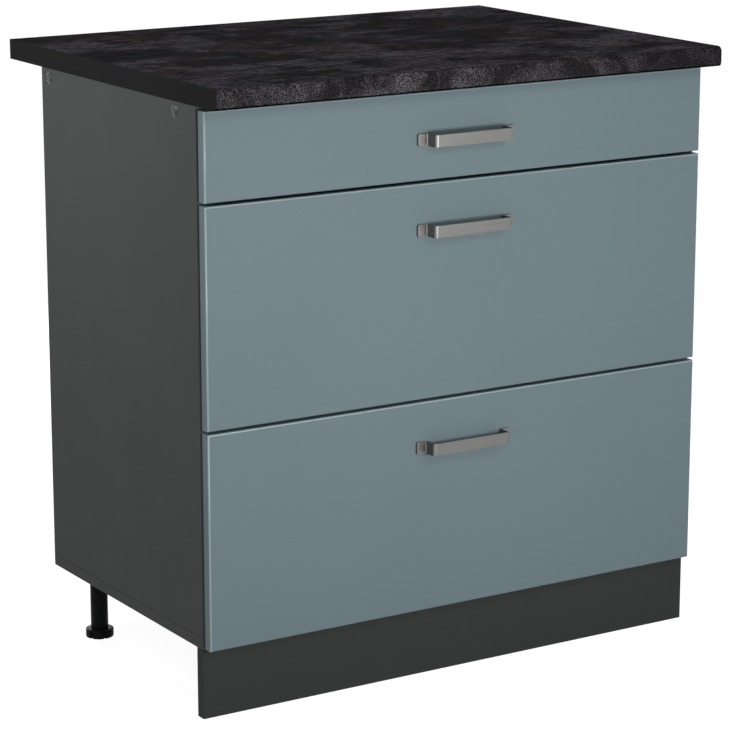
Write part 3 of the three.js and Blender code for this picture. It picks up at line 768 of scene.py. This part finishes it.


def front_panel(node):
    """A front rounded along the four edges of its face, and eased along the rear ones."""
    corner_low, corner_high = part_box(node)
    work = bmesh.new()
    bmesh.ops.create_cube(work, size=1)
    work.transform(Matrix.Diagonal((*(corner_high - corner_low), 1)))
    work.transform(Matrix.Translation((corner_low + corner_high) / 2))
    for at, radius, steps in ((corner_low.y, ARRIS, ARRIS_STEPS), (corner_high.y, REAR_ARRIS, REAR_STEPS)):
        edges = [e for e in work.edges if all(abs(v.co.y - at) < NEAR for v in e.verts)]
        bmesh.ops.bevel(
            work,
            geom=edges,
            offset=radius * MM,
            segments=steps,
            profile=0.5,
            affect="EDGES",
            clamp_overlap=True,
        )
    return flat_faced(mesh_from(work, node))


for drawer in DRAWERS:
    node = f"{drawer}_drawer_front"
    rear_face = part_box(node)[1].y
    # the rounded edges that don't face down get the paler lacquer, a painted highlight
    panel = paint(
        front_panel(node),
        LACQUER,
        (LIGHT_GREY, lambda centre, normal: normal.y > FACING and centre.y > rear_face - NEAR),
        (
            EDGE_LACQUER_PAINTED_HIGHLIGHT,
            lambda centre, normal: FACE_END < normal.y < SIDE_START and normal.z > FACING_DOWN,
        ),
    )
    stand_for(node, "panel", panel)

# Handles: a strap bent into a bow

GRIP_LENGTH, STRAP, BEND, FOOT_CORNER, STRAP_EDGE = 125, 3.5, 3, 3, 0.55
BEND_STEPS, STRAP_EDGE_STEPS = 8, 3
STRAIGHT = 1e-6  # a smaller turn than this, in radians, is no bend


def bent_line(corners, radius):
    """Points and left-hand normals along a line that is bent round each inner corner."""
    points = [Vector(corner) for corner in corners]
    line = []
    for at, point in enumerate(points):
        before = (point - points[at - 1]).normalized() if at else (points[1] - point).normalized()
        after = (points[at + 1] - point).normalized() if at < len(points) - 1 else before
        turn = math.atan2(before.x * after.y - before.y * after.x, before.dot(after))
        left = Vector((-before.y, before.x))
        if abs(turn) < STRAIGHT:
            line.append((point, left))
            continue
        side = math.copysign(1, turn)
        start = point - before * radius * math.tan(abs(turn) / 2)
        centre = start + left * side * radius
        for step in range(BEND_STEPS + 1):
            way = Matrix.Rotation(turn * step / BEND_STEPS, 2) @ left
            line.append((centre - way * side * radius, way))
    return line


def handle_strap(node):
    """A flat strap with rounded feet and eased edges, bent out from the front and back again."""
    corner_low, corner_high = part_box(node)
    middle_z = (corner_low.z + corner_high.z) / 2
    half_height = (corner_high.z - corner_low.z) / 2
    half_length = (corner_high.x - corner_low.x) / 2
    half, edge, rounding = STRAP * MM / 2, STRAP_EDGE * MM, FOOT_CORNER * MM
    leg_x = GRIP_LENGTH * MM / 2 - half
    foot_y, grip_y = corner_high.y - half, corner_low.y + half
    inset = [rounding * (1 - math.cos(math.radians(turn))) for turn in range(0, 91, 15)]
    foot = [(-half_length + depth, foot_y) for depth in inset]
    corners = [(-leg_x, foot_y), (-leg_x, grip_y), (leg_x, grip_y), (leg_x, foot_y)]
    line = bent_line([*foot, *corners, *[(-x, y) for x, y in reversed(foot)]], BEND * MM)
    rings = []
    for point, left in line:
        from_end = half_length - abs(point.x)
        lost = 0
        if from_end < rounding:
            lost = rounding - math.sqrt(max(0, rounding**2 - (rounding - from_end) ** 2))
        height = half_height - lost
        section = []
        for across, up, start in ((1, 1, 0), (-1, 1, 90), (-1, -1, 180), (1, -1, 270)):
            centre = (across * (half - edge), up * (height - edge))
            section += arc(centre, edge, start, start + 90, STRAP_EDGE_STEPS)
        rings.append([(*(point + left * across), middle_z + up) for across, up in section])
    return flat_faced(lofted(rings, node))


for drawer in DRAWERS:
    node = f"{drawer}_drawer_handle"
    stand_for(node, "strap", paint(handle_strap(node), NICKEL))

# Folded steel: channels, drawer sides, brackets

coated = [
    f"{drawer}_{part}_{side}"
    for drawer in DRAWERS
    for side in SIDES
    for part in ("runner", "drawer_side")
]
plated = [f"plinth_bracket_{side}" for side in SIDES]
for nodes, finish in ((coated, POWDER_COAT), (plated, ZINC)):
    for node in nodes:
        stand_for(node, "folded_steel", paint(flat_faced(node_mesh(node)), finish))

# Rollers and gallery rails

ROLLER_RADIUS, ROLLER_WIDTH, ROLLER_BORE, ROLLER_HUB = 11, 5.4, 2.3, 4.8
ROLLER_RIM, DISH, DISH_SLOPE = 2, 0.8, 0.3  # the rim's width, and the hollow between it and the hub
MOULDED_ROUND = (0.7, 0.2)  # how far a rounded corner reaches, and how far its middle is cut back
RAIL_RADIUS, SOCKET_RADIUS, SOCKET_LENGTH = 5, 9, 9
SOCKET_ROUND = (1.2, 0.4)

half = ROLLER_WIDTH / 2
roller_profile = [
    (ROLLER_BORE, -half),
    *rounded(ROLLER_RADIUS, -half, *MOULDED_ROUND),
    *rounded(ROLLER_RADIUS, half, *MOULDED_ROUND, upper=True),
    (ROLLER_RADIUS - ROLLER_RIM, half),
    (ROLLER_RADIUS - ROLLER_RIM - DISH_SLOPE, half - DISH),
    (ROLLER_HUB + DISH_SLOPE, half - DISH),
    (ROLLER_HUB, half),
    (ROLLER_BORE, half),
]
for drawer in DRAWERS:
    for side, sign in SIDES.items():
        for kind, dished in (("runner", 1), ("drawer", -1)):
            node = f"{drawer}_{kind}_roller_{side}"
            corner_low, corner_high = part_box(node)
            facing = [(radius, -sign * dished * along) for radius, along in roller_profile]
            wheel = shaded(lathed(facing, "x", (corner_low + corner_high) / 2), angle=40)
            stand_for(node, "wheel", paint(wheel, NYLON))

for drawer in ("middle", "bottom"):
    for side in SIDES:
        node = f"{drawer}_gallery_rail_{side}"
        corner_low, corner_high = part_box(node)
        centre = Vector(((corner_low.x + corner_high.x) / 2, 0, (corner_low.z + corner_high.z) / 2))
        start, end = corner_low.y / MM, corner_high.y / MM
        profile = [
            (0, start),
            (SOCKET_RADIUS, start),
            *rounded(SOCKET_RADIUS, start + SOCKET_LENGTH, *SOCKET_ROUND, upper=True),
            (RAIL_RADIUS, start + SOCKET_LENGTH),
            (RAIL_RADIUS, end - SOCKET_LENGTH),
            *rounded(SOCKET_RADIUS, end - SOCKET_LENGTH, *SOCKET_ROUND),
            (SOCKET_RADIUS, end),
            (0, end),
        ]
        tube = shaded(lathed(profile, "y", centre), angle=40)
        stand_for(node, "tube", paint(tube, POWDER_COAT))

# Legs and feet

LEG_TUBE, LEG_BORE, LEG_BORE_DEPTH, BORE_CHAMFER = 12.5, 9, 14, 0.6
LEG_COLLAR, LEG_COLLAR_HEIGHT, COLLAR_EASE, COVE = 17, 10, (0.4, 0.5), 2
LEG_PLATE, LEG_PLATE_HEIGHT, PLATE_ROUND = 29, 3, (0.8, 0.2)
FOOT_RADIUS, FOOT_CORE, FOOT_HEIGHT, FOOT_LOBES, FOOT_PHASE = 20, 13, 12, 6, 26
NOTCH_DEPTH, NOTCH_HALF_WIDTH = 3.6, 2.5  # FOOT_PHASE is the first notch's angle, in degrees
STEM_CORE, THREAD_RADIUS, THREAD_RIDGE, THREAD_PITCH = 7.7, 7.8, 0.75, 3
THREAD_START, THREAD_STOP = 2.5, 3  # from the knob's top, and from the stem's
FOOT_STEPS, THREAD_STEPS, RIDGE_STEPS = 240, 40, 8


def leg_moulding(low, high):
    """A tube with a blind bore, and a collar and a round plate under the board, all softly rounded."""
    end, top = low.z / MM, high.z / MM
    plate = top - LEG_PLATE_HEIGHT
    collar = plate - LEG_COLLAR_HEIGHT
    cove = [(COVE * (1 - math.cos(turn)), COVE * math.sin(turn)) for turn in (0, 0.5, 1, math.pi / 2)]
    profile = [
        (LEG_BORE, end + BORE_CHAMFER),
        (LEG_BORE + BORE_CHAMFER, end),
        *rounded(LEG_TUBE, end, *MOULDED_ROUND),
        (LEG_TUBE, collar - LEG_COLLAR + LEG_TUBE),
        (LEG_COLLAR - COLLAR_EASE[0], collar - COLLAR_EASE[0]),
        (LEG_COLLAR, collar + COLLAR_EASE[1]),
        *[(LEG_COLLAR + out, plate - COVE + up) for out, up in cove],
        *rounded(LEG_PLATE, plate, *PLATE_ROUND),
        (LEG_PLATE, top),
        (0, top),
        (0, top - LEG_BORE_DEPTH),
        (LEG_BORE, top - LEG_BORE_DEPTH),
    ]
    middle = Vector(((low.x + high.x) / 2, (low.y + high.y) / 2, 0))
    return shaded(lathed(profile, "z", middle), angle=40)


def foot_moulding(low, high):
    """A knob with six notches for the fingers, on a stem."""
    middle = (low + high) / 2
    stem_top = high.z / MM
    rings = []
    for radius, up, notched in (
        (FOOT_CORE, 0, False),
        (FOOT_RADIUS - 1, 0, True),
        (FOOT_RADIUS - 0.3, 0.3, True),
        (FOOT_RADIUS, 1, True),
        (FOOT_RADIUS, FOOT_HEIGHT - 1.6, True),
        (FOOT_RADIUS - 0.4, FOOT_HEIGHT - 0.5, True),
        (FOOT_RADIUS - 1.5, FOOT_HEIGHT, True),
        (FOOT_CORE, FOOT_HEIGHT, False),
        (STEM_CORE + 0.8, FOOT_HEIGHT, False),
        (STEM_CORE + 0.2, FOOT_HEIGHT + 0.2, False),
        (STEM_CORE, FOOT_HEIGHT + 0.8, False),
        (STEM_CORE, stem_top - 1.5, False),
        (STEM_CORE - 1.2, stem_top, False),
    ):
        ring = []
        for step in range(FOOT_STEPS):
            turn = 2 * math.pi * step / FOOT_STEPS
            from_notch = (math.degrees(turn) - FOOT_PHASE + 180 / FOOT_LOBES) % (360 / FOOT_LOBES)
            aside = FOOT_RADIUS * math.sin(math.radians(abs(from_notch - 180 / FOOT_LOBES)))
            cut = NOTCH_DEPTH * (1 - min(1, aside / NOTCH_HALF_WIDTH)) if notched else 0
            reach = (radius - cut) * MM
            ring.append((middle.x + reach * math.cos(turn), middle.y + reach * math.sin(turn), up * MM))
        rings.append(ring)
    return shaded(lofted(rings, "foot"))


def thread_tree():
    """A rounded ridge that winds up a stem."""
    sizes = {"Radius": "Float", "Ridge": "Float", "Height": "Float", "Turns": "Float"}
    tree, given = node_tree("moulded thread", sizes)
    path = {
        "Resolution": THREAD_STEPS,
        "Rotations": given["Turns"],
        "Start Radius": given["Radius"],
        "End Radius": given["Radius"],
        "Height": given["Height"],
    }
    helix = add(tree, "GeometryNodeCurveSpiral", path)
    circle = {"Resolution": RIDGE_STEPS, "Radius": given["Ridge"]}
    section = add(tree, "GeometryNodeCurvePrimitiveCircle", circle)
    inputs = {"Curve": helix, "Profile Curve": section, "Fill Caps": True}
    end_tree(tree, given, add(tree, "GeometryNodeCurveToMesh", inputs))
    return tree


def stem_thread(tree, low, high):
    """The thread on a foot's stem, between its plain ends."""
    start = low.z + (FOOT_HEIGHT + THREAD_START) * MM
    height = high.z - THREAD_STOP * MM - start
    values = {
        "Radius": THREAD_RADIUS * MM,
        "Ridge": THREAD_RIDGE * MM,
        "Height": height,
        "Turns": height / MM / THREAD_PITCH,
        "Finish": BLACK_PLASTIC,
    }
    ridge = grown(tree, bpy.data.meshes.new("stem"), values)
    ridge.transform(Matrix.Translation(((low.x + high.x) / 2, (low.y + high.y) / 2, start)))
    return shaded(ridge, angle=60)


thread = thread_tree()
for side in SIDES:
    stand_for(f"leg_{side}", "moulding", paint(leg_moulding(*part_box(f"leg_{side}")), BLACK_PLASTIC))
    low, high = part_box(f"foot_{side}")
    moulding = merged(foot_moulding(low, high), stem_thread(thread, low, high))
    stand_for(f"foot_{side}", "moulding", paint(moulding, BLACK_PLASTIC))

# Screws
#
# The CAD has no screws. Most of these sit in its holes.

PAN_RADIUS, PAN_HEIGHT = 3.9, 2.2
FLAT_RADIUS, FLAT_HEIGHT = 3.4, 0.5
RECESS_WIDTH, RECESS_LENGTH = 0.22, 1.15  # shares of the head's radius
RECESS_DEPTH = 1.4  # a share of the head's height, and half of it is in the head
HEAD_SIDES, HEAD_RINGS = 32, 4
STEEL_SHEET, BRACKET_SHEET, BRACKET_REACH = 1.2, 2, 20
TAB_SCREW_X, TAB_SCREW_RISES = 357, (35, 67)
LEDGE_SCREW_X, LEDGE_SCREW_PLACES = 358, (-180, -40, 100)
BACK_SCREW_X, BACK_SCREW_INSET, BACK_SCREW_RISES = 371, 8, (45, 66)
HANDLE_SCREW_X = 71
RUNNER_SCREW_PLACES, RUNNER_SCREW_RISE = (-206, -46, 114), 15.2
BRACKET_SCREW_X = (237.5, 262.5)
LEG_SCREW_CIRCLE, LEG_SCREW_TURNS = 23.5, (45, 135, 225, 315)


def screw_tree():
    """Domed heads with a cross recess, one on each point, turned along the point's "axis"."""
    sizes = {"Head Radius": "Float", "Head Height": "Float", "Recess Width": "Float", "Seed": "Int"}
    tree, given = node_tree("cross-recess screws", sizes)
    x, y, z = add(tree, "ShaderNodeSeparateXYZ", {0: add(tree, "GeometryNodeInputPosition")}).outputs
    value = {"x": x, "y": y, "z": z, "radius": given["Head Radius"], "height": given["Head Height"]}
    for label, operation, *terms in (
        ("x squared", "MULTIPLY", "x", "x"),
        ("y squared", "MULTIPLY", "y", "y"),
        ("distance squared", "ADD", "x squared", "y squared"),
        ("radius squared", "MULTIPLY", "radius", "radius"),
        ("share", "DIVIDE", "distance squared", "radius squared"),
        ("remainder", "SUBTRACT", 1.0, "share"),
        ("not below 0", "MAXIMUM", "remainder", 0.0),
        ("dome", "SQRT", "not below 0"),
        ("flattened dome", "MULTIPLY_ADD", "dome", 0.5, 0.5),
        ("crown", "MULTIPLY", "height", "flattened dome"),
        ("upper", "GREATER_THAN", "z", 0.0),
        ("raised", "MULTIPLY", "crown", "upper"),
        ("length", "MULTIPLY", "radius", RECESS_LENGTH),
        ("depth", "MULTIPLY", "height", RECESS_DEPTH),
    ):
        inputs = {at: value.get(term, term) for at, term in enumerate(terms)}
        value[label] = add(tree, "ShaderNodeMath", inputs, operation=operation)
    shape = {
        "Vertices": HEAD_SIDES,
        "Fill Segments": HEAD_RINGS,
        "Radius": value["radius"],
        "Depth": value["height"],
    }
    blank = add(tree, "GeometryNodeMeshCylinder", shape, fill_type="TRIANGLE_FAN")
    spot = add(tree, "ShaderNodeCombineXYZ", {0: x, 1: y, 2: value["raised"]})
    domed = add(tree, "GeometryNodeSetPosition", {"Geometry": blank, "Position": spot})
    head = add(tree, "GeometryNodeMeshBoolean", {0: domed}, operation="DIFFERENCE", solver="EXACT")
    lifted = add(tree, "ShaderNodeCombineXYZ", {2: value["height"]})
    length, width = value["length"], given["Recess Width"]
    for across, along in ((length, width), (width, length)):
        size = add(tree, "ShaderNodeCombineXYZ", {0: across, 1: along, 2: value["depth"]})
        arm = add(tree, "GeometryNodeMeshCube", {"Size": size})
        moved = add(tree, "GeometryNodeTransform", {"Geometry": arm, "Translation": lifted})
        tree.links.new(moved.outputs[0], head.inputs[1])
    axis = add(tree, "GeometryNodeInputNamedAttribute", {"Name": "axis"}, data_type="FLOAT_VECTOR")
    facing = add(tree, "FunctionNodeAlignRotationToVector", {"Vector": axis}, axis="Z")
    inputs = {"Points": given["Geometry"], "Instance": head, "Rotation": facing}
    placed = add(tree, "GeometryNodeInstanceOnPoints", inputs)
    chance = {2: 0.0, 3: math.pi / 2, "Seed": given["Seed"]}
    turn = add(tree, "FunctionNodeRandomValue", chance, data_type="FLOAT")
    inputs = {"Instances": placed, "Rotation": add(tree, "ShaderNodeCombineXYZ", {2: turn})}
    end_tree(tree, given, add(tree, "GeometryNodeRotateInstances", inputs))
    return tree


screw_heads = screw_tree()


def screws(name, node, points, radius, height, seed):
    """Screws on the body of a node, from (place in millimetres, axis) pairs."""
    start = bpy.data.meshes.new(name)
    start.from_pydata([Vector(spot) * MM for spot, axis in points], [], [])
    axes = start.attributes.new("axis", "FLOAT_VECTOR", "POINT")
    axes.data.foreach_set("vector", [part for spot, axis in points for part in axis])
    values = {
        "Head Radius": radius * MM,
        "Head Height": height * MM,
        "Recess Width": RECESS_WIDTH * radius * MM,
        "Seed": seed,
        "Finish": ZINC,
    }
    heads = shaded(grown(screw_heads, start, values), angle=30)
    put(name, paint(heads, ZINC), node)


def corners_mm(node):
    """The two corners of a CAD node's box, in millimetres."""
    return [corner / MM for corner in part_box(node)]


runner_points, cabinet_points = [], []
for drawer in DRAWERS:
    side_low, side_high = corners_mm(f"{drawer}_drawer_side_right")
    handle_low, handle_high = corners_mm(f"{drawer}_drawer_handle")
    front_y = corners_mm(f"{drawer}_drawer_front")[1].y
    wall_x = corners_mm(f"{drawer}_runner_right")[1].x - STEEL_SHEET
    tab_y, back_y, base_z = front_y + STEEL_SHEET, side_high.y - BACK_SCREW_INSET, side_low.z
    handle_z, runner_z = (handle_low.z + handle_high.z) / 2, base_z + RUNNER_SCREW_RISE
    points = []
    for sign in SIDES.values():
        points += [((sign * TAB_SCREW_X, tab_y, base_z + up), (0, 1, 0)) for up in TAB_SCREW_RISES]
        points += [((sign * LEDGE_SCREW_X, at, base_z), (0, 0, -1)) for at in LEDGE_SCREW_PLACES]
        points += [((sign * BACK_SCREW_X, back_y, base_z + up), (sign, 0, 0)) for up in BACK_SCREW_RISES]
        points.append(((sign * HANDLE_SCREW_X, front_y, handle_z), (0, 1, 0)))
        runner_points += [((sign * wall_x, at, runner_z), (-sign, 0, 0)) for at in RUNNER_SCREW_PLACES]
    screws(f"{drawer}_drawer_screws", f"{drawer}_drawer_side_right", points, PAN_RADIUS, PAN_HEIGHT, seed=3)

leg_low, leg_high = corners_mm("leg_right")
leg_x, leg_y = (leg_low.x + leg_high.x) / 2, (leg_low.y + leg_high.y) / 2
plinth_y = corners_mm("plinth_board")[1].y
under = corners_mm("bottom_panel")[0].z
for sign in SIDES.values():
    for at in BRACKET_SCREW_X:
        cabinet_points.append(((sign * at, plinth_y + BRACKET_SHEET, under - BRACKET_REACH), (0, 1, 0)))
        cabinet_points.append(((sign * at, plinth_y + BRACKET_REACH, under - BRACKET_SHEET), (0, 0, -1)))
    for turn in LEG_SCREW_TURNS:
        aside = LEG_SCREW_CIRCLE * math.cos(math.radians(turn))
        along = LEG_SCREW_CIRCLE * math.sin(math.radians(turn))
        cabinet_points.append(((sign * leg_x + aside, leg_y + along, under - LEG_PLATE_HEIGHT), (0, 0, -1)))
screws("cabinet_screws", "plinth_bracket_right", cabinet_points, PAN_RADIUS, PAN_HEIGHT, seed=5)
screws("runner_screws", "plinth_bracket_right", runner_points, FLAT_RADIUS, FLAT_HEIGHT, seed=7)

# Room, light and camera. Places are in metres, powers in watts.

FLOOR_HALF_WIDTH, FLOOR_DROP = 20, 0.1 * MM
FLOOR_TONES, FLOOR_MOTTLE = ("#a6a6a6", "#ababab"), 300
FLOOR_WHITE, FLOOR_GLOW = "#8c8c8c", 0.93
WORLD_FILL = 0.10
SOFTBOXES = (  # name, place, target, width, height, power
    ("front softbox", (-0.07, -1.75, 0.6), (-0.05, -0.26, 0.98), 1.15, 0.3, 15.1),
    ("high softbox", (0.1, -1.75, 1.5), (0.0, -0.26, 0.7), 1.1, 0.4, 5.0),
    ("left softbox", (-1.1, 0.12, 1.02), (-0.4, 0.08, 0.85), 0.6, 0.4, 3.3),
    ("low strip light", (-2.17, -1.53, 0.45), (-0.1, -0.28, 0.45), 0.12, 0.85, 4.5),
    ("right softbox", (1.9, 0.1, 0.55), (0.4, 0, 0.5), 0.8, 0.5, 13),
    ("rear softbox", (0.2, 2.2, 0.55), (0, 0.2, 0.5), 1.2, 0.5, 20),
)
OVERHEAD_PLACE, OVERHEAD_STRENGTH, OVERHEAD_SPREAD = (0.3, 0.2, 3.2), 0.9, 50
CAMERA_PLACE, CAMERA_DIP, CAMERA_TURN = (-2.111, -3.391, 1.350), 13.65, 32.02
SENSOR_WIDTH, FOCAL_LENGTH = 36, 139.4


def seen_directly(tree):
    """1 for rays from the camera, from gloss and through glass, and 0 for the rest."""
    ray = add(tree, "ShaderNodeLightPath").outputs
    seen = ray["Is Camera Ray"]
    for kind in ("Is Glossy Ray", "Is Transmission Ray"):
        seen = add(tree, "ShaderNodeMath", {0: seen, 1: ray[kind]}, operation="MAXIMUM")
    return seen


def studio_floor():
    """A pale floor, brightened to white where it is seen, which keeps the object's shadow."""
    work = bmesh.new()
    bmesh.ops.create_grid(work, x_segments=1, y_segments=1, size=FLOOR_HALF_WIDTH)
    work.transform(Matrix.Translation((0, 0, -FLOOR_DROP)))
    floor = bpy.data.objects.new("floor", mesh_from(work, "floor"))
    bpy.context.scene.collection.objects.link(floor)
    material, tree, place = blank_material("pale studio floor")
    mottle = add(tree, "ShaderNodeTexNoise", {"Vector": place, "Scale": per(FLOOR_MOTTLE), "Detail": 2.0})
    tones = {SHARE: mottle, FIRST: linear(FLOOR_TONES[0]), SECOND: linear(FLOOR_TONES[1])}
    tone = add(tree, "ShaderNodeMix", tones, data_type="RGBA")
    matt = add(tree, "ShaderNodeBsdfDiffuse", {"Color": tone})
    white = add(tree, "ShaderNodeBsdfDiffuse", {"Color": linear(FLOOR_WHITE)})
    glow = add(tree, "ShaderNodeEmission", {"Color": (1, 1, 1, 1), "Strength": FLOOR_GLOW})
    lit = add(tree, "ShaderNodeAddShader", {0: white, 1: glow})
    chosen = add(tree, "ShaderNodeMixShader", {0: seen_directly(tree), 1: matt, 2: lit})
    add(tree, "ShaderNodeOutputMaterial", {"Surface": chosen})
    floor.data.materials.append(material)


def studio_world():
    """A white surround where it is seen, and an even soft fill for everything else."""
    world = bpy.data.worlds.new("white studio")
    bpy.context.scene.world = world
    world.use_nodes = True
    tree = world.node_tree
    tree.nodes.clear()
    levels = {"Value": seen_directly(tree), "To Min": WORLD_FILL, "To Max": 1.0}
    strength = add(tree, "ShaderNodeMapRange", levels)
    surround = add(tree, "ShaderNodeBackground", {"Color": (1, 1, 1, 1), "Strength": strength})
    add(tree, "ShaderNodeOutputWorld", {"Surface": surround})


def hang(name, lamp, where, target):
    """A lamp at one place, turned to another and hidden from the camera."""
    holder = bpy.data.objects.new(name, lamp)
    bpy.context.scene.collection.objects.link(holder)
    holder.location = where
    holder.rotation_euler = (Vector(target) - Vector(where)).to_track_quat("-Z", "Y").to_euler()
    holder.visible_camera = False


studio_floor()
studio_world()
for name, where, target, width, height, power in SOFTBOXES:
    softbox = bpy.data.lights.new(name, "AREA")
    softbox.shape = "RECTANGLE"
    softbox.size, softbox.size_y, softbox.energy = width, height, power
    hang(name, softbox, where, target)
sun = bpy.data.lights.new("broad overhead light", "SUN")
sun.energy, sun.angle = OVERHEAD_STRENGTH, math.radians(OVERHEAD_SPREAD)
hang("broad overhead light", sun, OVERHEAD_PLACE, (0, 0, 0))

camera = bpy.data.cameras.new("camera")
camera.sensor_width, camera.lens = SENSOR_WIDTH, FOCAL_LENGTH
view = bpy.data.objects.new("camera", camera)
bpy.context.scene.collection.objects.link(view)
view.location = CAMERA_PLACE
view.rotation_euler = (math.radians(90 - CAMERA_DIP), 0, math.radians(-CAMERA_TURN))
bpy.context.scene.camera = view
bpy.context.scene.view_settings.view_transform = "Standard"
